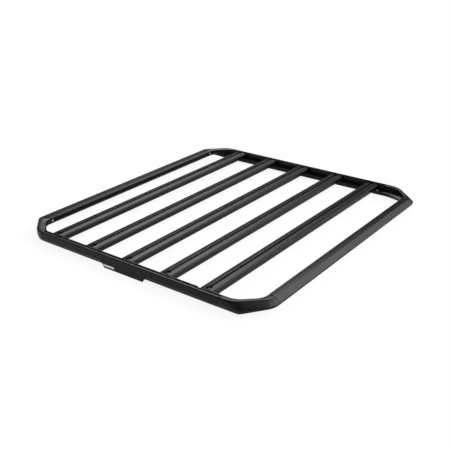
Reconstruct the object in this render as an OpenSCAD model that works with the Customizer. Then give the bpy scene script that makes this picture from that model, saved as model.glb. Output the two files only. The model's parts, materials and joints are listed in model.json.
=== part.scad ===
// Flat platform roof rack: slats bolted across two side rails, end rails and cast corners.
// X runs across the vehicle, Y to its rear, Z up from the floor that the side plates stand on.
// Sections of the side rail are drawn from its outer face inward, and end rails from their outer edge.

/* [Overall] */
// Width across the vehicle, over the side rails
rack_w = 1500; // [1300:10:1800]
// Length from the front lip to the back of the rear rail
rack_l = 1350; // [1300:10:1500]
// Height from the foot of the side plates to the top plane
rack_h = 61; // [56:1:80]

/* [Slats] */
// Distance from the end of a side rail to the first slat
slat_margin = 37.8; // [30:0.1:90]
// Width of a slat over its round shoulders
slat_w = 68; // [62:1:90]
// Height of a slat
slat_h = 28; // [26:1:34]
// Half the width of the level strip along a slat's middle
crown_level = 14; // [12:1:18]
// Angle in degrees at which the crown falls beyond the level strip
crown_fall = 5; // [0:0.5:7]
// Radius of the round shoulders
shoulder_r = 8; // [5:1:11]
// How far a slat's flank steps in under the shoulder
flank_inset = 3.5; // [0.5:0.5:5]
// Gap between the end of a slat and the side rail's channel
slat_end_gap = 4; // [0.5:0.5:8]
// Length of the open pocket over the bolt at a slat's end
pocket_l = 27; // [20:1:40]
// Width of the open pocket over the bolt
pocket_w = 22; // [16:1:26]

/* [T slots] */
// Width of a T slot's mouth
slot_mouth = 10; // [8:0.5:12]
// Width of the space behind the mouth
slot_w = 20; // [16:0.5:22]
// Depth of the space behind the mouth
slot_d = 8; // [6:0.5:9]
// Thickness of the lips at the mouth
lip_t = 3; // [2:0.25:3.5]
// Wall thickness of the extrusions
wall_t = 2.5; // [2:0.25:3]

/* [Grip ribs] */
// Distance from one fine rib to the next
rib_pitch = 2.2; // [1.8:0.1:3]
// Depth of the grooves between ribs
rib_d = 0.5; // [0.3:0.1:1]

/* [Side rails] */
// Height of a side rail
side_h = 46; // [42:1:52]
// Width of the upper channel with the T slot
channel_w = 25.5; // [24:0.5:28]
// Width of the strip outside the T slot
strip_w = 11; // [8:0.5:12]
// Reach of the lower box that carries the slats, from the outer face
ledge_w = 57; // [54:1:70]
// Height over the rail's bottom where the lower face starts to lean in
lean_h = 15; // [12:1:17]
// How far the lower face leans in at the bottom
lean_in = 4; // [2:0.5:5]
// Radius of the top outer edge
crest_r = 4; // [2:0.5:6]
// Distance of the T slot's entry notches from the end of the rail
notch_in = 103; // [40:1:160]
// Length of an entry notch
notch_l = 24; // [18:1:40]

/* [End rails] */
// Width of the mouth of the T slot along the rear rail's inner side
end_slot_mouth = 8; // [6:0.5:9]
// Width of the space behind that mouth
end_slot_w = 15; // [12:0.5:16]
// Height of the front rail
front_h = 28; // [26:1:32]
// Height of the rear rail
rear_h = 25.5; // [22:0.5:30]
// Width of the rear rail's top
rear_w = 58; // [52:1:66]
// Width of the front rail's flat top
front_top_w = 34; // [30:1:44]
// Width of the front rail's slope, seen from above
slope_w = 19; // [14:1:24]
// Depth of the slope
slope_h = 19.5; // [14:0.5:22]
// Width of the ribbed band on the front rail
front_ribs_w = 19; // [12:1:24]
// Width of the ribbed band on the rear rail
rear_ribs_w = 34; // [24:1:40]
// Length of the dark notch where a ribbed band meets a corner
seam_notch = 6; // [2:0.5:8]
// Depth of that notch
seam_notch_d = 5; // [4.5:0.25:6]

/* [Corners] */
// Reach of a front corner along the side
front_corner_l = 200; // [180:1:230]
// Reach of a front corner across the front
front_corner_w = 134; // [128:1:160]
// Leg of the slanted outline at the front
front_slant = 98; // [90:1:108]
// Leg of the slanted crease on top of the front corner
front_crease = 112; // [104:1:114]
// Reach of a rear corner along the side
rear_corner_l = 144; // [134:1:170]
// Reach of a rear corner across the rear
rear_corner_w = 121; // [116:1:150]
// Leg of the slanted outline at the rear
rear_slant = 102; // [80:1:106]
// Reach of the front corner's inner slant along the side
front_in_l = 82; // [70:1:90]
// Reach of the front corner's inner slant across the front
front_in_w = 75.5; // [60:0.5:80]
// Reach of the slant of the front corner's ledge along the side
front_ledge_l = 116; // [90:1:120]
// Reach of the slant of the front corner's ledge across the front
front_ledge_w = 68; // [30:1:68]
// Reach of the rear corner's inner slant along the side
rear_in_l = 72; // [60:1:74]
// Reach of the rear corner's inner slant across the rear
rear_in_w = 64; // [50:1:74]
// Reach of the slant of the rear corner's ledge along the side
rear_ledge_l = 50; // [40:1:74]
// Reach of the slant of the rear corner's ledge across the rear
rear_ledge_w = 36; // [20:0.5:44]
// Length over which the front corner's outer bend at the side is rounded
front_bend = 40; // [20:1:60]
// Length over which that bend is rounded at its foot
foot_bend = 14; // [6:1:40]
// Length over which the rear corner's outer bend at the side is rounded
rear_bend = 38; // [20:1:40]
// Length over which the front corner's outer bend at the front rail is rounded
front_end_bend = 30; // [10:1:36]
// Length over which the rear corner's outer bend at the rear rail is rounded
rear_end_bend = 8; // [4:1:20]
// Length over which the inner bends are rounded
inner_bend = 34; // [12:1:36]
// Height over an end rail's bottom at which a corner's ledge runs out
ledge_fade = 8; // [4:0.5:12]
// Gap at the seams between corners and rails
seam_gap = 0.6; // [0.3:0.1:0.9]
// Length of the tongue that laps the rear rail's inner side
tongue_l = 24; // [18:1:40]
// Distance of its screw from the tongue's tip
tongue_screw_in = 11; // [7:0.5:12]
// Thickness of the tongue
tongue_t = 3; // [2:0.5:5]

/* [Side plates] */
// Length of a side plate's upper edge
plate_top_l = 262; // [200:1:320]
// Length of a side plate's lower edge
plate_foot_l = 222; // [160:1:300]
// Thickness of a side plate
plate_t = 4; // [3:0.5:6]
// Reach of the flange under the rail
plate_flange_w = 40; // [38:1:50]
// Distance between the side plate's two bolts
plate_bolt_pitch = 155; // [100:1:180]
// Distance of those bolts from the rail's outer face
plate_bolt_in = 28; // [24:1:30]
// Length of the blank badge
badge_l = 58; // [40:1:90]
// Height of the blank badge
badge_h = 9.5; // [6:0.5:12]
// Height of the badge's lower edge over the plate's lower edge
badge_z = 8; // [4:0.5:12]
// Thickness of the blank badge
badge_t = 1; // [0.6:0.1:1.5]
// Distance of the badge from the rear end of the plate
badge_in = 6; // [4:0.5:40]

/* [Screws] */
// Diameter of the bolts under the slats' pockets and the side plates
bolt_d = 8; // [6:0.5:9]
// Width of a bolt's head over its flats
bolt_head_w = 13; // [11:0.5:15]
// Height of a bolt's head
bolt_head_h = 5; // [3:0.5:6]
// Width of the washer under a bolt's head
washer_w = 17; // [15:0.5:18]
// Thickness of a washer
washer_t = 1.6; // [1:0.1:2]
// Diameter of the small screws in the tongues and ledges
screw_d = 5; // [4:0.5:6]
// Width of a small screw's head over its flats
screw_head_w = 8; // [7:0.5:9]
// Height of a small screw's head
screw_head_h = 3.5; // [2:0.5:4]
// Width of a small screw's washer
screw_washer_w = 10; // [9:0.5:11]
// Thickness of a small screw's washer
screw_washer_t = 1; // [0.6:0.1:1.2]
// Distance of the ledge's small screw from the end of the side rail
ledge_screw_y = 28; // [20:1:32]
// Distance of that screw from the ledge's inner edge
ledge_screw_in = 6.5; // [6:0.5:9]
// Gap between a shank and the hole round it
hole_gap = 0.3; // [0.1:0.1:0.5]

/* [Hidden] */
$fn = 48;
far = 100;
front_y = -rack_l / 2;
rear_y = rack_l / 2;
side_x = -rack_w / 2;
rail_front = front_y + front_corner_l;
rail_rear = rear_y - rear_corner_l;
slats_y = (rail_front + rail_rear) / 2;
slat_n = 5;
slat_mid = (slat_n + 1) / 2;
slat_pitch = (rail_rear - rail_front - 2 * slat_margin - slat_w) / (slat_n - 1);
side_z = rack_h - side_h;
ledge_z = rack_h - slat_h;
front_z = rack_h - front_h;
rear_z = rack_h - rear_h;
shoulder_x = slat_w / 2 - shoulder_r;
shoulder_z = (shoulder_r + (shoulder_x - crown_level) * sin(crown_fall)) / cos(crown_fall);
slat_in = channel_w + slat_end_gap;
slat_l = rack_w - 2 * slat_in;
web_z = rack_h - lip_t - slot_d;
bolt_in = slat_in + pocket_l / 2;
hole_r = bolt_d / 2 + hole_gap;
slope_top = rack_h - slope_h;
front_inner = slope_w + front_top_w;
plate_z = side_z - plate_t;
end_slot_z = rack_h - wall_t - end_slot_w / 2;
plate_bolt_ys = [slats_y - plate_bolt_pitch / 2, slats_y + plate_bolt_pitch / 2];
tongue_root = 18;
tongue_screw_x = side_x + rear_corner_w + tongue_l - tongue_screw_in;
bend_steps = 6;
arc_steps = 10;
plate_edge_gap = 2;
floor_share = 0.8;
eps = 1;
black = [0.13, 0.13, 0.135];
cast_black = [0.17, 0.17, 0.175];
steel = [0.55, 0.56, 0.58];
pale = [0.8, 0.8, 0.8];

// Y of a slat; the first is at the rear
function slat_y(i) = slats_y + (slat_mid - i) * slat_pitch;

// Draws a section of Y and Z along X, about the middle of the rack
module along_x(length) {
    rotate([90, 0, 90]) linear_extrude(length, center = true) children();
}

// Draws a section of X and Z along Y, from y0 to y1
module along_y(y0, y1) {
    translate([0, y1, 0]) rotate([90, 0, 0]) linear_extrude(y1 - y0) children();
}

// A T slot that opens at the top of a section, with its mouth at height 0
module t_slot(mouth, width) {
    translate([-mouth / 2, -lip_t - slot_d / 2]) square([mouth, lip_t + slot_d]);
    translate([-width / 2, -lip_t - slot_d]) square([width, slot_d]);
}

// Fine grooves cut down from height 0, from x0 to x1
module rib_grooves(x0, x1) {
    for (x = [x0 : rib_pitch : x1 - rib_pitch]) {
        translate([x + rib_pitch / 4, -rib_d]) square([rib_pitch / 2, rib_d + eps]);
    }
}

// Half of a slat's outline, with a margin taken off all round: level, falling, then round to the flank
module slat_half(margin) {
    r = shoulder_r - margin;
    flank = slat_w / 2 - flank_inset - margin;
    turns = [for (k = [0 : arc_steps]) crown_fall + (90 - crown_fall) * k / arc_steps];
    polygon(concat(
        [[0, margin - slat_h], [0, -margin], [crown_level, -margin]],
        [for (t = turns) [shoulder_x + r * sin(t), r * cos(t) - shoulder_z]],
        [[flank, -shoulder_z], [flank, margin - slat_h]]
    ));
}

// The grip ribs of a slat's rear half, on the level strip and on the fall beyond it
module slat_ribs() {
    rib_grooves(slot_mouth / 2 + wall_t / 2, crown_level);
    translate([crown_level, 0]) rotate(-crown_fall) rib_grooves(0, shoulder_x - crown_level);
}

module slat_section() {
    difference() {
        for (s = [0, 1]) mirror([s, 0]) difference() {
            slat_half(0);
            intersection() {
                slat_half(wall_t);
                translate([slot_w / 2 + wall_t, -slat_h])
                    square([slat_w / 2 - flank_inset - slot_w / 2 - 2 * wall_t, slat_h]);
            }
        }
        slat_ribs();
        t_slot(slot_mouth, slot_w);
        translate([0, -slat_h]) mirror([0, 1]) t_slot(slot_mouth, slot_w);
    }
}

module slat(i) {
    color(black) translate([0, slat_y(i), rack_h]) difference() {
        along_x(slat_l) slat_section();
        for (s = [0, 1]) mirror([s, 0, 0]) {
            translate([slat_l / 2 - pocket_l, -pocket_w / 2, -lip_t - eps])
                cube([pocket_l + eps, pocket_w, far]);
            translate([rack_w / 2 - bolt_in, 0, -slat_h]) cylinder(r = hole_r, h = slat_h);
        }
    }
}

// A hexagon bolt with its washer, standing with the washer's underside at the origin
module bolt(d, head_w, head_h, disc_w, disc_t, length) {
    cylinder(d = disc_w, h = disc_t);
    translate([0, 0, disc_t]) cylinder(d = head_w / cos(30), h = head_h, $fn = 6);
    translate([0, 0, -length]) cylinder(d = d, h = length + disc_t);
}

module big_bolt(length) {
    color(steel) bolt(bolt_d, bolt_head_w, bolt_head_h, washer_w, washer_t, length);
}

module small_screw(length) {
    color(steel) bolt(screw_d, screw_head_w, screw_head_h, screw_washer_w, screw_washer_t, length);
}

module slat_bolt(i) {
    translate([side_x + bolt_in, slat_y(i), web_z]) big_bolt(web_z - ledge_z + 2 * wall_t);
}

// Section of the left side rail, from its outer face inward
module side_rail_section() {
    mouth_x = strip_w + slot_mouth / 2;
    difference() {
        union() {
            difference() {
                translate([0, ledge_z - eps]) square([channel_w, slat_h + eps]);
                translate([-eps, rack_h - crest_r]) square([crest_r + eps, crest_r + eps]);
            }
            translate([crest_r, rack_h - crest_r]) circle(crest_r);
            polygon([
                [0, ledge_z], [0, side_z + lean_h], [lean_in, side_z], [ledge_w, side_z], [ledge_w, ledge_z]
            ]);
        }
        translate([mouth_x - slot_mouth / 2, rack_h - lip_t - eps]) square([slot_mouth, lip_t + 2 * eps]);
        translate([wall_t, web_z]) square([channel_w - 2 * wall_t, slot_d]);
        translate([wall_t, ledge_z]) square([channel_w - 2 * wall_t, web_z - wall_t - ledge_z]);
        polygon([
            [wall_t, ledge_z - wall_t], [wall_t, side_z + lean_h], [wall_t + lean_in, side_z + wall_t],
            [ledge_w - wall_t, side_z + wall_t], [ledge_w - wall_t, ledge_z - wall_t]
        ]);
    }
}

module side_rail() {
    color(black) difference() {
        translate([side_x, 0, 0]) along_y(rail_front, rail_rear) side_rail_section();
        for (i = [1 : slat_n]) {
            translate([side_x + bolt_in, slat_y(i), ledge_z - wall_t - eps])
                cylinder(r = hole_r, h = wall_t + 2 * eps);
        }
        for (y = [rail_front + notch_in, rail_rear - notch_in]) {
            translate([side_x + strip_w - wall_t, y - notch_l / 2, rack_h - lip_t - eps])
                cube([channel_w, notch_l, far]);
        }
        for (y = plate_bolt_ys) {
            translate([side_x + plate_bolt_in, y, side_z - eps]) cylinder(r = hole_r, h = wall_t + 2 * eps);
        }
        translate([0, 0, -wall_t - eps]) ledge_screw_place()
            cylinder(d = screw_d + 2 * hole_gap, h = wall_t + 2 * eps);
    }
}

module ledge_screw_place() {
    translate([side_x + ledge_w - ledge_screw_in, rail_front + ledge_screw_y, ledge_z]) children();
}

module ledge_screw() {
    ledge_screw_place() small_screw(2 * wall_t);
}

// Section of the front rail, from its outermost lip inward
module front_section() {
    difference() {
        polygon([
            [0, front_z], [0, slope_top], [slope_w, rack_h], [front_inner, rack_h], [front_inner, front_z]
        ]);
        polygon([
            [wall_t, front_z + wall_t], [wall_t, slope_top - wall_t / 2],
            [slope_w + wall_t / 2, rack_h - wall_t],
            [front_inner - wall_t, rack_h - wall_t], [front_inner - wall_t, front_z + wall_t]
        ]);
        translate([0, rack_h]) rib_grooves(front_inner - front_ribs_w, front_inner - wall_t);
    }
}

// Section of the rear rail, from its outer face inward, with a T slot that opens inward
module rear_section() {
    difference() {
        translate([0, rear_z]) square([rear_w, rear_h]);
        translate([-eps, rack_h - crest_r]) difference() {
            square([crest_r + eps, crest_r + eps]);
            translate([crest_r + eps, 0]) circle(crest_r);
        }
        translate([wall_t, rear_z + wall_t])
            square([rear_w - lip_t - slot_d - 2 * wall_t, rear_h - wall_t - crest_r]);
        translate([rear_w, end_slot_z]) rotate(-90) t_slot(end_slot_mouth, end_slot_w);
        translate([0, rack_h]) rib_grooves(crest_r, crest_r + rear_ribs_w);
    }
}

// Blocks that close a rail's chamber under its two seam notches, over y0 to y1
module seam_floors(length, y0, y1) {
    for (s = [0, 1]) mirror([s, 0, 0])
        translate([length / 2 - seam_notch - wall_t, y0, rack_h - seam_notch_d - wall_t])
            cube([seam_notch + wall_t, y1 - y0, seam_notch_d + rib_d]);
}

// The two notches over y0 to y1 where a rail's ribbed band meets the corners
module seam_notches(length, y0, y1) {
    for (s = [0, 1]) mirror([s, 0, 0])
        translate([length / 2 - seam_notch, y0, rack_h - seam_notch_d])
            cube([seam_notch + eps, y1 - y0, far]);
}

module front_rail() {
    length = rack_w - 2 * front_corner_w;
    inner = front_y + front_inner;
    color(black) difference() {
        union() {
            translate([0, front_y, 0]) along_x(length) front_section();
            seam_floors(length, inner - front_ribs_w - wall_t, inner - wall_t / 2);
        }
        seam_notches(length, inner - front_ribs_w, inner + eps);
    }
}

module rear_rail() {
    length = rack_w - 2 * rear_corner_w;
    ribs_end = rear_y - crest_r - rear_ribs_w;
    color(black) difference() {
        union() {
            translate([0, rear_y, 0]) mirror([0, 1, 0]) along_x(length) rear_section();
            seam_floors(length, ribs_end - wall_t, rear_y - floor_share * wall_t);
        }
        seam_notches(length, ribs_end, rear_y - crest_r);
    }
}

// A point on the curve that rounds the bend at b between a and c, over a length of up to l
function bend_point(a, b, c, l, t) =
    let (m = min(l, norm(a - b) * 0.9, norm(c - b) * 0.45))
    let (p = b + (a - b) * m / norm(a - b), q = b + (c - b) * m / norm(c - b))
    (1 - t) * (1 - t) * p + 2 * t * (1 - t) * b + t * t * q;

// One lengthwise edge of a corner: straight, bend over l1, slant, bend over l2, straight
function edge_line(a, b, c, d, l1, l2) = concat(
    [a],
    [for (k = [0 : bend_steps]) bend_point(a, b, c, l1, k / bend_steps)],
    [for (k = [0 : bend_steps]) bend_point(d, c, b, l2, 1 - k / bend_steps)],
    [d]
);

// Skins a solid over lengthwise edges that have equally many points; both ends fan from the last edge
module skin(edges) {
    m = len(edges);
    n = len(edges[0]);
    points = [for (i = [0 : n - 1]) for (e = edges) e[i]];
    sides = [for (i = [0 : n - 2]) for (j = [0 : m - 1]) for (h = [0, 1])
        let (a = i * m + j, b = i * m + (j + 1) % m)
        h == 0 ? [a, b + m, b] : [a, a + m, b + m]];
    last = (n - 1) * m;
    ends = [for (j = [0 : m - 3]) for (h = [0, 1])
        h == 0 ? [m - 1, j, j + 1] : [last + m - 1, last + j + 1, last + j]];
    polyhedron(points, concat(sides, ends), convexity = 6);
}

// An edge from two guide points, each given as distance from the side, from the end, and height
function corner_edge(g, end_l, end_w) = edge_line(
    [g[0][0], end_l - seam_gap, g[0][2]], g[0], g[1], [end_w - seam_gap, g[1][1], g[1][2]], g[2], g[3]
);

// The edges run from the inner top over the crest and down, then under the ledge and back up
module front_corner() {
    ledge_x = ledge_w + front_ledge_w;
    edges = [for (g = [
        [[channel_w, front_inner + front_in_l, rack_h], [channel_w + front_in_w, front_inner, rack_h],
            inner_bend, inner_bend],
        [[crest_r, slope_w + front_crease + crest_r / 2, rack_h], [front_crease, slope_w + eps, rack_h],
            front_bend, front_end_bend],
        [[0, slope_w + front_crease, rack_h - crest_r], [front_crease, slope_w - eps, rack_h - eps],
            front_bend, front_end_bend],
        [[0, front_slant, side_z + lean_h], [front_slant, 0, slope_top], foot_bend, front_end_bend],
        [[lean_in, front_slant + lean_in, side_z], [front_slant, 0, front_z], foot_bend, front_end_bend],
        [[ledge_w, front_inner + front_ledge_l, side_z], [ledge_x, front_inner, front_z],
            inner_bend, inner_bend],
        [[ledge_w, front_inner + front_ledge_l, ledge_z], [ledge_x, front_inner, front_z + ledge_fade],
            inner_bend, inner_bend],
        [[channel_w, front_inner + front_in_l, ledge_z],
            [channel_w + front_in_w, front_inner - eps, front_z + ledge_fade + 2 * eps],
            inner_bend, inner_bend]
    ]) corner_edge(g, front_corner_l, front_corner_w)];
    color(cast_black) translate([side_x, front_y, 0]) skin(edges);
}

module rear_corner() {
    ledge_x = ledge_w + rear_ledge_w;
    edges = [for (g = [
        [[channel_w, rear_w + rear_in_l, rack_h], [channel_w + rear_in_w, rear_w, rack_h],
            inner_bend, inner_bend],
        [[crest_r, rear_slant + crest_r / 2, rack_h], [rear_slant + crest_r / 2, crest_r, rack_h],
            rear_bend, rear_end_bend],
        [[0, rear_slant, rack_h - crest_r], [rear_slant, 0, rack_h - crest_r], rear_bend, rear_end_bend],
        [[0, rear_slant, side_z + lean_h], [rear_slant, 0, rear_z + lean_in], rear_bend, rear_end_bend],
        [[lean_in, rear_slant + lean_in / 2, side_z], [rear_slant, 0, rear_z], rear_bend, rear_end_bend],
        [[ledge_w, rear_w + rear_ledge_l, side_z], [ledge_x, rear_w, rear_z], inner_bend, inner_bend],
        [[ledge_w, rear_w + rear_ledge_l, ledge_z], [ledge_x, rear_w, rear_z + ledge_fade / 2],
            inner_bend, inner_bend],
        [[channel_w, rear_w + rear_in_l, ledge_z],
            [channel_w + rear_in_w, rear_w - eps, rear_z + ledge_fade], inner_bend, inner_bend]
    ]) corner_edge(g, rear_corner_l, rear_corner_w)];
    color(cast_black) union() {
        translate([side_x, rear_y, 0]) mirror([0, 1, 0]) skin(edges);
        tongue();
    }
}

// A tongue of the rear corner that laps the rear rail's inner side; its root runs back into the corner
module tongue() {
    low = rear_z + wall_t / 2;
    tall = rear_h - 2 * wall_t;
    difference() {
        union() {
            translate([side_x + rear_corner_w - eps, rear_y - rear_w - tongue_t, low])
                cube([tongue_l + eps, tongue_t, tall]);
            translate([side_x + rear_corner_w - tongue_root, rear_y - rear_w - tongue_t, low])
                cube([tongue_root - seam_gap, 2 * tongue_t, tall]);
        }
        tongue_screw_place() cylinder(d = screw_d + 2 * hole_gap, h = 4 * tongue_t, center = true);
    }
}

module tongue_screw_place() {
    translate([tongue_screw_x, rear_y - rear_w - tongue_t, end_slot_z]) rotate([90, 0, 0]) children();
}

module tongue_screw() {
    tongue_screw_place() small_screw(tongue_t + lip_t + slot_d / 2);
}

module side_plate() {
    lean = lean_in / lean_h;
    top = lean_h - plate_edge_gap;
    color(black) difference() {
        translate([side_x, slats_y, 0]) intersection() {
            along_y(-plate_top_l / 2, plate_top_l / 2) polygon([
                [0, 0], [0, side_z + top], [lean * (lean_h - top), side_z + top], [lean_in, side_z],
                [plate_flange_w, side_z], [plate_flange_w, plate_z], [plate_t, plate_z], [plate_t, 0]
            ]);
            rotate([90, 0, 90]) linear_extrude(2 * ledge_w, center = true) polygon([
                [-plate_foot_l / 2, 0], [plate_foot_l / 2, 0],
                [plate_top_l / 2, side_z + top], [-plate_top_l / 2, side_z + top]
            ]);
        }
        for (y = plate_bolt_ys) {
            translate([side_x + plate_bolt_in, y, 0]) cylinder(r = hole_r, h = side_z + eps);
        }
        badge_form(badge_t + eps, -eps);
    }
}

// The badge's outline, pushed in from the plate's outer face; its rear end follows the plate's slant
module badge_form(depth, start) {
    lean = (plate_top_l - plate_foot_l) / 2 / (side_z + lean_h - plate_edge_gap);
    low_y = slats_y + plate_foot_l / 2 - badge_in + lean * badge_z;
    translate([side_x + start, 0, badge_z]) rotate([90, 0, 90]) linear_extrude(depth) polygon([
        [low_y - badge_l, 0], [low_y, 0], [low_y + lean * badge_h, badge_h], [low_y - badge_l, badge_h]
    ]);
}

module badge() {
    color(pale) badge_form(badge_t, 0);
}

module plate_bolts() {
    for (y = plate_bolt_ys) {
        translate([side_x + plate_bolt_in, y, plate_z]) mirror([0, 0, 1]) big_bolt(plate_t + 3 * wall_t);
    }
}

module side(s) {
    mirror([s, 0, 0]) children();
}

side_rail();  // side_rail_left
side(1) side_rail();  // side_rail_right
front_rail();
rear_rail();
slat(1);  // slat_1
slat(2);  // slat_2
slat(3);  // slat_3
slat(4);  // slat_4
slat(5);  // slat_5
front_corner();  // corner_front_left
side(1) front_corner();  // corner_front_right
rear_corner();  // corner_rear_left
side(1) rear_corner();  // corner_rear_right
side_plate();  // side_plate_left
side(1) side_plate();  // side_plate_right
badge();  // badge_left
side(1) badge();  // badge_right
slat_bolt(1);  // slat_bolt_1_left
slat_bolt(2);  // slat_bolt_2_left
slat_bolt(3);  // slat_bolt_3_left
slat_bolt(4);  // slat_bolt_4_left
slat_bolt(5);  // slat_bolt_5_left
side(1) slat_bolt(1);  // slat_bolt_1_right
side(1) slat_bolt(2);  // slat_bolt_2_right
side(1) slat_bolt(3);  // slat_bolt_3_right
side(1) slat_bolt(4);  // slat_bolt_4_right
side(1) slat_bolt(5);  // slat_bolt_5_right
plate_bolts();  // plate_bolts_left
side(1) plate_bolts();  // plate_bolts_right
tongue_screw();  // tongue_screw_left
side(1) tongue_screw();  // tongue_screw_right
ledge_screw();  // ledge_screw_left
side(1) ledge_screw();  // ledge_screw_right
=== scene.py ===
# %% [markdown]
# # A flat platform roof rack
# The rack is a frame of black aluminium extrusions: two side rails, a front and a rear rail, five slats
# across, and a cast corner at each joint. The imported model already holds these shapes with their T slots.
# In this lesson we give the frame its camera, light and finishes. We then model again by hand what a plain
# solid leaves too sharp: the castings, the bolts and the blank badges.

# %% Load the frame and its record
import bpy
import bmesh
import json
import math
from mathutils import Vector, Matrix


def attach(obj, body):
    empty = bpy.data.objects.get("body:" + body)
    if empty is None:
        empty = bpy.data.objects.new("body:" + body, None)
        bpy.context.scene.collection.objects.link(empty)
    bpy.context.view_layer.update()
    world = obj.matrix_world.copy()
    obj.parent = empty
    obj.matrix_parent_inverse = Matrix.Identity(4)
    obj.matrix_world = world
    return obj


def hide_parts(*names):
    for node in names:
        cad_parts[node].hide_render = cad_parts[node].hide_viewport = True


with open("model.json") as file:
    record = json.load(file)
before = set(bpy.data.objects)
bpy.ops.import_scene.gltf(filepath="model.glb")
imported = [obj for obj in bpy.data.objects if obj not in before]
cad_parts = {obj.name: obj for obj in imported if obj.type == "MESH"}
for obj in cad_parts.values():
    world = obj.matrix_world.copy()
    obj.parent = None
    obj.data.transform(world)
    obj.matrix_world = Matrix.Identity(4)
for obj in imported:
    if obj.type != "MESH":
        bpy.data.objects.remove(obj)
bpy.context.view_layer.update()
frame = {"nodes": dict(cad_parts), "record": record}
nodes = frame["nodes"]

# %% [markdown]
# ## The camera
# The photograph was taken from the front left, about 24 degrees above the rack, with a lens of about
# 59 mm on a 36 mm sensor. Two vanishing points of the slats and the side rails gave these numbers.
# A camera could be aimed with a Track To constraint, but a matrix from three measured directions holds
# the small roll too, so we write the matrix itself.

# %% Place the camera
look = Vector((0.73279, 0.54320, -0.40982)).normalized()
right = Vector((0.59498, -0.80374, -0.00147)).normalized()
above = right.cross(look).normalized()
camera_place = Vector((-2.7312, -1.9814, 1.4835))
camera_turn = Matrix((right, above, -look)).transposed().to_4x4()
camera_data = bpy.data.cameras.new("photo_camera")
camera_data.sensor_width = 36.0
camera_data.lens = 59.32
camera_data.clip_end = 60.0
camera = bpy.data.objects.new("photo_camera", camera_data)
bpy.context.scene.collection.objects.link(camera)
camera.matrix_world = Matrix.Translation(camera_place) @ camera_turn
bpy.context.scene.camera = camera
bpy.context.scene.view_settings.view_transform = "Standard"
print("camera height", round(camera_place.z, 3), "m, lens", camera_data.lens, "mm")

# %% [markdown]
# ## Shader maths in plain Python
# A finish is a small net of nodes. Wiring each node by hand is long and hard to read, so one class wraps
# a socket and lets us write a + b or 1 - a, and each such sum becomes a Math node. Colours go through
# Mix nodes, because a Math node would turn them grey. A second class adds any other node in one line:
# its kind, its settings, and the values or links of its sockets.

# %% A socket that can be added and multiplied
class Value:
    def __init__(self, net, socket):
        self.net, self.socket = net, socket

    def join(self, operation, first, second):
        return self.net.node("ShaderNodeMath", {"operation": operation}, {0: first, 1: second})

    def __add__(self, other): return self.join("ADD", self, other)
    def __radd__(self, other): return self.join("ADD", other, self)
    def __sub__(self, other): return self.join("SUBTRACT", self, other)
    def __rsub__(self, other): return self.join("SUBTRACT", other, self)
    def __mul__(self, other): return self.join("MULTIPLY", self, other)
    def __rmul__(self, other): return self.join("MULTIPLY", other, self)
    def clamp(self): return self.net.node("ShaderNodeClamp", {}, {"Value": self})


print("sockets can be added, taken away and multiplied")


# %% A net of nodes for a material or the world
class Net:
    def __init__(self, material):
        material.use_nodes = True
        self.tree = material.node_tree
        self.tree.nodes.clear()

    def node(self, kind, settings, inputs, output=0):
        made = self.tree.nodes.new(kind)
        for key, value in settings.items():
            setattr(made, key, value)
        for key, value in inputs.items():
            if isinstance(value, Value):
                self.tree.links.new(value.socket, made.inputs[key])
            else:
                made.inputs[key].default_value = value
        return Value(self, made.outputs[output]) if len(made.outputs) else None

    def place(self):
        return self.node("ShaderNodeTexCoord", {}, {}, "Object")

    def noise(self, scale, detail=2.0, rough=0.5, stretch=(1, 1, 1)):
        spot = self.node("ShaderNodeMapping", {}, {"Vector": self.place(), "Scale": stretch})
        return self.node("ShaderNodeTexNoise", {}, {"Vector": spot, "Scale": scale, "Detail": detail,
                                                    "Roughness": rough}, "Fac")

    def shade(self, factor, dark, light):
        return self.node("ShaderNodeMix", {"data_type": "RGBA"},
                         {"Factor": factor, 6: (*dark, 1), 7: (*light, 1)}, 2)

    def finish(self, colour, roughness, height, bump, distance, metallic=0.0, specular=0.5):
        normal = self.node("ShaderNodeBump", {}, {"Height": height, "Strength": bump, "Distance": distance})
        surface = self.node("ShaderNodeBsdfPrincipled", {}, {
            "Base Color": colour, "Roughness": roughness, "Metallic": metallic,
            "Specular IOR Level": specular, "Normal": normal})
        self.node("ShaderNodeOutputMaterial", {}, {"Surface": surface})


def new_material(name):
    material = bpy.data.materials.new(name)
    return material, Net(material)


print("shader helper ready")

# %% [markdown]
# ## The floor
# The photograph has a pure white ground. A white floor gives it: its Light Path node makes it glow at
# strength 1 to the camera and to reflections, while a small share of plain diffuse white keeps the soft
# shadow. The floor isn't sampled as a lamp, because the light on the rack comes from the sky, which the
# next step builds.

# %% Floor
FLOOR_SIZE = 60
FLOOR_WHITE = (0.8, 0.8, 0.8, 1)
GLOW_SHARE = 0.9
PURE_WHITE = (1, 1, 1, 1)

floor_material, net = new_material("studio_floor")
camera_ray = net.node("ShaderNodeLightPath", {}, {}, "Is Camera Ray")
ray_kinds = camera_ray.socket.node.outputs
seen = (camera_ray + Value(net, ray_kinds["Is Glossy Ray"])
        + Value(net, ray_kinds["Is Transmission Ray"])).clamp()
matte = net.node("ShaderNodeBsdfDiffuse", {}, {"Color": FLOOR_WHITE})
glow = net.node("ShaderNodeEmission", {}, {"Color": PURE_WHITE, "Strength": 1.0})
both = net.node("ShaderNodeMixShader", {}, {0: seen * GLOW_SHARE, 1: matte, 2: glow})
net.node("ShaderNodeOutputMaterial", {}, {"Surface": both})
floor_material.cycles.emission_sampling = "NONE"
bpy.ops.object.select_all(action="DESELECT")
bpy.ops.mesh.primitive_plane_add(size=FLOOR_SIZE, location=(0, 0, 0))
floor = bpy.context.object
floor.name = "studio_floor"
floor.data.materials.append(floor_material)
print("floor", floor.dimensions.x, "m wide")

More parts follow.
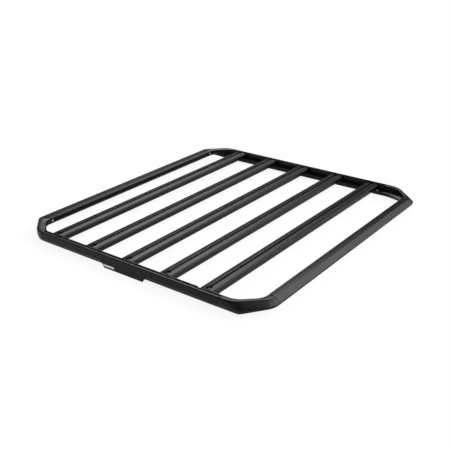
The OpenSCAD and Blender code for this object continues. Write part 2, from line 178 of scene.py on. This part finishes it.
# %% [markdown]
# ## The light
# Soft boxes around a real rack could be area lamps, but a satin black coat shows a small lamp as a noisy
# spot. Here the studio is a sky of soft round patches instead. The patches behind the rack are the ones
# that its level tops mirror to the camera, and those at the right are what the front slope mirrors. The
# last two are dim and light the other sides. A haze at the horizon joins the sky to the white floor.

# %% Sky patches
# Each has a heading, a height and a radius in degrees, then a strength
SKY_PATCHES = [
    (42, 8, 16, 0.24), (42, 33, 16, 2.0), (33, 42, 16, 3.2), (42, 42, 16, 4.5),
    (-40, 24, 20, 4.2), (-34, 36, 20, 5.3), (-56, 36, 20, 4.3), (-70, 48, 20, 4.8),
    (-98, 48, 20, 6.7), (-60, 66, 25, 0.96),
    (150, 30, 45, 0.48), (-150, 30, 45, 0.32),
]
HAZE_ENDS, HAZE_FULL = 0.14, 0.03


def toward(heading, height):
    around, lift = math.radians(heading), math.radians(height)
    return Vector((math.cos(around) * math.cos(lift), math.sin(around) * math.cos(lift), math.sin(lift)))


def soft_patch(net, direction, heading, height, radius, strength):
    facing = net.node("ShaderNodeVectorMath", {"operation": "DOT_PRODUCT"},
                      {0: direction, 1: toward(heading, height)}, "Value")
    return net.node("ShaderNodeMapRange", {"interpolation_type": "SMOOTHSTEP"},
                    {"Value": facing, "From Min": math.cos(math.radians(radius)), "From Max": 1.0,
                     "To Max": strength})


print("strongest patch", max(patch[3] for patch in SKY_PATCHES))

# %% Build the sky
world = bpy.data.worlds.new("studio_sky")
bpy.context.scene.world = world
net = Net(world)
direction = net.node("ShaderNodeTexCoord", {}, {}, "Generated")
height = net.node("ShaderNodeSeparateXYZ", {}, {0: direction}, 2)
brightness = net.node("ShaderNodeMapRange", {"interpolation_type": "SMOOTHSTEP"},
                      {"Value": height, "From Min": HAZE_ENDS, "From Max": HAZE_FULL})
for patch in SKY_PATCHES:
    brightness = brightness + soft_patch(net, direction, *patch)
sky = net.node("ShaderNodeBackground", {}, {"Color": PURE_WHITE, "Strength": brightness})
net.node("ShaderNodeOutputWorld", {}, {"Surface": sky})
print(len(SKY_PATCHES), "sky patches")

# %% [markdown]
# ## The black powder coat
# Rails and slats carry a satin powder coat. Seen close, such a coat has a very fine orange peel, faint
# specks and a roughness that drifts a little along the bar. Three noises at three scales give these. The
# colour is nearly black, and a low specular level keeps the upright faces dark, as they are in the
# photograph, although they mirror a white floor.

# %% Powder coat
DRIFT_SCALE, SPECK_SCALE, PEEL_SCALE = 3.0, 900.0, 2600.0
PEEL_DEPTH = 0.00001
COAT_SPECULAR = 0.13


def powder_coat(name, dark, light, rough, peel):
    material, net = new_material(name)
    drift = net.noise(DRIFT_SCALE, 3.0)
    specks = net.noise(SPECK_SCALE, 3.0, 0.6)
    grain = net.noise(PEEL_SCALE, 2.0)
    colour = net.shade((drift * 0.6 + specks * 0.4).clamp(), dark, light)
    roughness = (drift * 0.08 + specks * 0.04 + (rough - 0.06)).clamp()
    net.finish(colour, roughness, specks * 0.7 + grain * 0.3, peel, PEEL_DEPTH, specular=COAT_SPECULAR)
    return material


rail_coat = powder_coat("rail_powder_coat", (0.0028, 0.0028, 0.0030), (0.0050, 0.0050, 0.0052), 0.30, 0.15)
cast_coat = powder_coat("cast_powder_coat", (0.0030, 0.0030, 0.0032), (0.0052, 0.0052, 0.0054), 0.28, 0.3)
plate_coat = powder_coat("plate_powder_coat", (0.0026, 0.0026, 0.0028), (0.0046, 0.0046, 0.0048), 0.32, 0.15)
print("three coats:", rail_coat.name, cast_coat.name, plate_coat.name)

# %% [markdown]
# ## Plated steel and the pale badge
# The small screws are zinc plated, a cool metal with turning marks and dull patches. The bolts in the
# slats' pockets show dark, as blackened steel does. The badge is a pale plate with a very fine brushed
# grain that runs along it.

# %% Plating and badge
GRAIN_STRENGTH, GRAIN_DEPTH = 0.6, 0.00002


def plating(name, dark, light, smooth):
    material, net = new_material(name)
    patches = net.noise(90.0, 4.0, 0.6)
    turned = net.noise(700.0, 2.0, 0.5, (1, 1, 6))
    colour = net.shade(patches.clamp(), dark, light)
    roughness = (patches * 0.25 + smooth).clamp()
    net.finish(colour, roughness, turned, GRAIN_STRENGTH, GRAIN_DEPTH, metallic=1.0)
    return material


def pale_plate(name):
    material, net = new_material(name)
    brushed = net.noise(500.0, 3.0, 0.6, (1, 0.08, 1))
    patches = net.noise(60.0, 3.0)
    colour = net.shade((brushed * 0.5 + patches * 0.5).clamp(), (0.62, 0.62, 0.63), (0.86, 0.86, 0.86))
    roughness = (brushed * 0.2 + 0.35).clamp()
    net.finish(colour, roughness, brushed, GRAIN_STRENGTH, GRAIN_DEPTH, metallic=0.1)
    return material


bright_zinc = plating("bright_zinc", (0.30, 0.31, 0.33), (0.55, 0.56, 0.58), 0.25)
black_steel = plating("blackened_steel", (0.012, 0.012, 0.013), (0.030, 0.030, 0.032), 0.30)
badge_face = pale_plate("badge_face")
print("metals:", bright_zinc.name, black_steel.name, "and", badge_face.name)

# %% A finish for each node of the frame
finish_of = {"rail_black": rail_coat, "cast_corner": cast_coat, "side_plate": plate_coat,
             "badge": badge_face, "bolt_steel": black_steel}
slot_of = {part["node"]: part["material_slot"] for part in frame["record"]["subparts"]}
for name, node in nodes.items():
    for spot in node.material_slots:
        spot.material = finish_of[slot_of[name]]
print("finishes on", len(nodes), "nodes")

# %% [markdown]
# ## Helpers for modelling by hand
# The frame's own meshes stay as they are. To soften a shape we copy its node, merge the loose triangles
# into one skin, and let the copy stand for the node. Faces are picked in code, by their centre and normal,
# and then shaped by the edit mode operators, as the mouse would do it.

# %% Pick faces and leave edit mode
def only(obj):
    bpy.ops.object.select_all(action="DESELECT")
    obj.select_set(True)
    bpy.context.view_layer.objects.active = obj


def edit(piece, wanted):
    only(piece)
    bpy.ops.object.mode_set(mode="EDIT")
    bpy.ops.mesh.select_mode(type="FACE")
    mesh = bmesh.from_edit_mesh(piece.data)
    for face in mesh.faces:
        face.select_set(wanted(face.calc_center_median(), face.normal))
    bmesh.update_edit_mesh(piece.data)


def leave_edit():
    bpy.ops.object.mode_set(mode="OBJECT")


def every_face(centre, normal):
    return True


print("faces can be picked by centre and normal")

# %% Copy a node, measure it, and hand a finished piece over
MERGE_DISTANCE = 0.00002


def copy_of(node_name, piece_name):
    piece = nodes[node_name].copy()
    piece.data = nodes[node_name].data.copy()
    piece.name = piece_name
    for key in list(piece.keys()):
        del piece[key]
    piece.parent = None
    bpy.context.scene.collection.objects.link(piece)
    edit(piece, every_face)
    bpy.ops.mesh.remove_doubles(threshold=MERGE_DISTANCE)
    bpy.ops.mesh.customdata_custom_splitnormals_clear()
    leave_edit()
    return piece


def box_of(node_name):
    spots = [nodes[node_name].matrix_world @ v.co for v in nodes[node_name].data.vertices]
    low = Vector([min(s[k] for s in spots) for k in range(3)])
    high = Vector([max(s[k] for s in spots) for k in range(3)])
    return low, high


def round_creases(piece, width, crease, smooth_under):
    soften = piece.modifiers.new("soften", "BEVEL")
    soften.width = width
    soften.segments = 2
    soften.limit_method = "ANGLE"
    soften.angle_limit = math.radians(crease)
    only(piece)
    bpy.ops.object.modifier_apply(modifier=soften.name)
    bpy.ops.object.shade_smooth_by_angle(angle=math.radians(smooth_under))


def settle(piece, finish, node_name):
    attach(piece, "root")
    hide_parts(node_name)
    piece.data.materials.clear()
    piece.data.materials.append(finish)


print("a copy merges points nearer than", MERGE_DISTANCE * 1000, "mm")

# %% [markdown]
# ## The corner castings
# A real casting has no sharp edge: its bends flow and its edges are rounded by a millimetre or so. The
# packed corners have the right outline in flat facets. We copy each one, turn its triangles back into
# strips, round its creases with a Bevel modifier and shade the rest smooth by angle.

# %% Soften the castings
CAST_ROUND = 0.0010
CAST_CREASE, CAST_SMOOTH = 19, 30
STRIP_BEND, STRIP_SKEW = math.radians(12), math.radians(60)

for name in sorted(n for n in nodes if n.startswith("corner")):
    casting = copy_of(name, name.replace("corner", "casting"))
    edit(casting, every_face)
    bpy.ops.mesh.tris_convert_to_quads(face_threshold=STRIP_BEND, shape_threshold=STRIP_SKEW)
    leave_edit()
    round_creases(casting, CAST_ROUND, CAST_CREASE, CAST_SMOOTH)
    settle(casting, cast_coat, name)
    print(casting.name, len(casting.data.polygons), "faces")

# %% [markdown]
# ## The bolts
# Each slat is held by a hexagon bolt with a washer in the pocket at each end, and smaller screws hold the
# rear corners' tongues and the ledges. A bolt starts as the washer: a low cylinder whose underside is
# inset and drawn down into the shank. The head is a six-sided cylinder with a chamfered, slightly dished
# top. One bolt for each place is modelled at the origin, and its copies are put where the nodes are.

# %% Sizes of the two kinds, in metres
HEX_BOLT = {"head_w": 0.013, "head_h": 0.005, "disc_t": 0.0016, "shank_d": 0.008}
SMALL_SCREW = {"head_w": 0.008, "head_h": 0.0035, "disc_t": 0.001, "shank_d": 0.005}


def seat_of(sizes):
    return sizes["head_h"] + sizes["disc_t"]


print("heads", HEX_BOLT["head_w"] * 1000, "and", SMALL_SCREW["head_w"] * 1000, "mm across the flats")

# %% One bolt at the origin
WASHER_SIDES = 36
RIM_SHARE, CHAMFER_SHARE = 0.25, 0.14
DISH_RIM_SHARE, DISH_DEPTH_SHARE = 0.10, 0.08
FACING = 0.9
BOLT_SMOOTH = 35


def rim_bevel(piece, level, width):
    edit(piece, lambda centre, normal: normal.z > FACING and centre.z > level)
    bpy.ops.mesh.bevel(offset=width, segments=2, affect="EDGES")
    leave_edit()


def cylinder(sides, radius, depth, middle_z):
    bpy.ops.object.select_all(action="DESELECT")
    bpy.ops.mesh.primitive_cylinder_add(vertices=sides, radius=radius, depth=depth, location=(0, 0, middle_z))
    made = bpy.context.object
    bpy.ops.object.transform_apply(location=True, rotation=True, scale=True)
    return made


def hexagon_bolt(name, disc_w, shank_l, head_w, head_h, disc_t, shank_d):
    washer = cylinder(WASHER_SIDES, disc_w / 2, disc_t, disc_t / 2)
    rim_bevel(washer, disc_t / 2, disc_t * RIM_SHARE)
    edit(washer, lambda centre, normal: normal.z < -FACING)
    bpy.ops.mesh.inset(thickness=(disc_w - shank_d) / 2)
    bpy.ops.mesh.extrude_region_move(TRANSFORM_OT_translate={"value": (0, 0, -shank_l)})
    leave_edit()
    head = cylinder(6, head_w / 2 / math.cos(math.radians(30)), head_h, disc_t + head_h / 2)
    rim_bevel(head, disc_t + head_h / 2, head_h * CHAMFER_SHARE)
    edit(head, lambda centre, normal: normal.z > FACING)
    bpy.ops.mesh.inset(thickness=head_w * DISH_RIM_SHARE)
    bpy.ops.transform.translate(value=(0, 0, -head_h * DISH_DEPTH_SHARE))
    leave_edit()
    only(head)
    washer.select_set(True)
    bpy.ops.object.join()
    head.name = name
    bpy.ops.object.shade_smooth_by_angle(angle=math.radians(BOLT_SMOOTH))
    print(name, len(head.data.polygons), "faces, shank", round(shank_l * 1000, 1), "mm")
    return head


# %% [markdown]
# A node's box gives the washer's width and the shank's length, so each bolt fills the place that the frame
# keeps for it. The long side of that box runs along the shank: upright for most, front to rear for the
# screws in the tongues.

# %% One model for each place
ALONG_Y, ALONG_Z = 1, 2


def model_for(node_name, model_name, sizes, axis=ALONG_Z):
    low, high = box_of(node_name)
    return hexagon_bolt(model_name, high.x - low.x, high[axis] - low[axis] - seat_of(sizes), **sizes)


slat_model = model_for("slat_bolt_1_left", "slat_bolt_model", HEX_BOLT)
ledge_model = model_for("ledge_screw_left", "ledge_screw_model", SMALL_SCREW)
tongue_model = model_for("tongue_screw_left", "tongue_screw_model", SMALL_SCREW, ALONG_Y)
plate_model = model_for("plate_bolts_left", "plate_bolt_model", HEX_BOLT)

# %% Set a copy down
UPRIGHT, LYING, UNDER = (0, 0, 0), (math.pi / 2, 0, 0), (math.pi, 0, 0)


def set_down(model, piece_name, place, turn):
    piece = model.copy()
    piece.data = model.data.copy()
    piece.name = piece_name
    bpy.context.scene.collection.objects.link(piece)
    piece.location = place
    piece.rotation_euler = turn
    only(piece)
    bpy.ops.object.transform_apply(location=True, rotation=True, scale=True)
    return piece


def set_upright(model, node_name, piece_name, sizes, finish):
    low, high = box_of(node_name)
    place = ((low.x + high.x) / 2, (low.y + high.y) / 2, high.z - seat_of(sizes))
    settle(set_down(model, piece_name, place, UPRIGHT), finish, node_name)


for name in sorted(n for n in nodes if n.startswith("slat_bolt")):
    set_upright(slat_model, name, name.replace("slat_bolt", "pocket_bolt"), HEX_BOLT, black_steel)
for name in ("ledge_screw_left", "ledge_screw_right"):
    set_upright(ledge_model, name, name.replace("screw", "hex_screw"), SMALL_SCREW, bright_zinc)

# %% The tongues' screws lie flat, and the plates' bolts hang head down
for name in ("tongue_screw_left", "tongue_screw_right"):
    low, high = box_of(name)
    place = ((low.x + high.x) / 2, low.y + seat_of(SMALL_SCREW), (low.z + high.z) / 2)
    settle(set_down(tongue_model, name.replace("screw", "hex_screw"), place, LYING),
           bright_zinc, name)

for name in ("plate_bolts_left", "plate_bolts_right"):
    low, high = box_of(name)
    half = (high.x - low.x) / 2
    seat_z = low.z + seat_of(HEX_BOLT)
    pair = [set_down(plate_model, f"{name}_hex_{k}", (low.x + half, y, seat_z), UNDER)
            for k, y in enumerate((low.y + half, high.y - half))]
    only(pair[0])
    pair[1].select_set(True)
    bpy.ops.object.join()
    settle(pair[0], black_steel, name)

for model in (slat_model, ledge_model, tongue_model, plate_model):
    bpy.data.objects.remove(model)
print("screws on both tongues and bolts under both plates")

# %% [markdown]
# ## The blank badges
# The badge is a thin pale plate, let into the side plate. We copy its node, join its triangles into whole
# faces, inset the outer face and press it in a little, which leaves a raised rim, and then round the
# edges. It stays blank.

# %% Badges with a rim
RIM_W, RIM_DEPTH = 0.0007, 0.0002
BADGE_ROUND = 0.00008
BADGE_CREASE, BADGE_SMOOTH = 40, 30
FLAT_UNDER = math.radians(1)

for name, outward in (("badge_left", -1), ("badge_right", 1)):
    badge = copy_of(name, name + "_rimmed")
    edit(badge, every_face)
    bpy.ops.mesh.dissolve_limited(angle_limit=FLAT_UNDER)
    leave_edit()
    edit(badge, lambda centre, normal: normal.x * outward > FACING)
    bpy.ops.mesh.inset(thickness=RIM_W)
    bpy.ops.transform.translate(value=(-outward * RIM_DEPTH, 0, 0))
    leave_edit()
    round_creases(badge, BADGE_ROUND, BADGE_CREASE, BADGE_SMOOTH)
    settle(badge, badge_face, name)
    print(badge.name, len(badge.data.polygons), "faces")
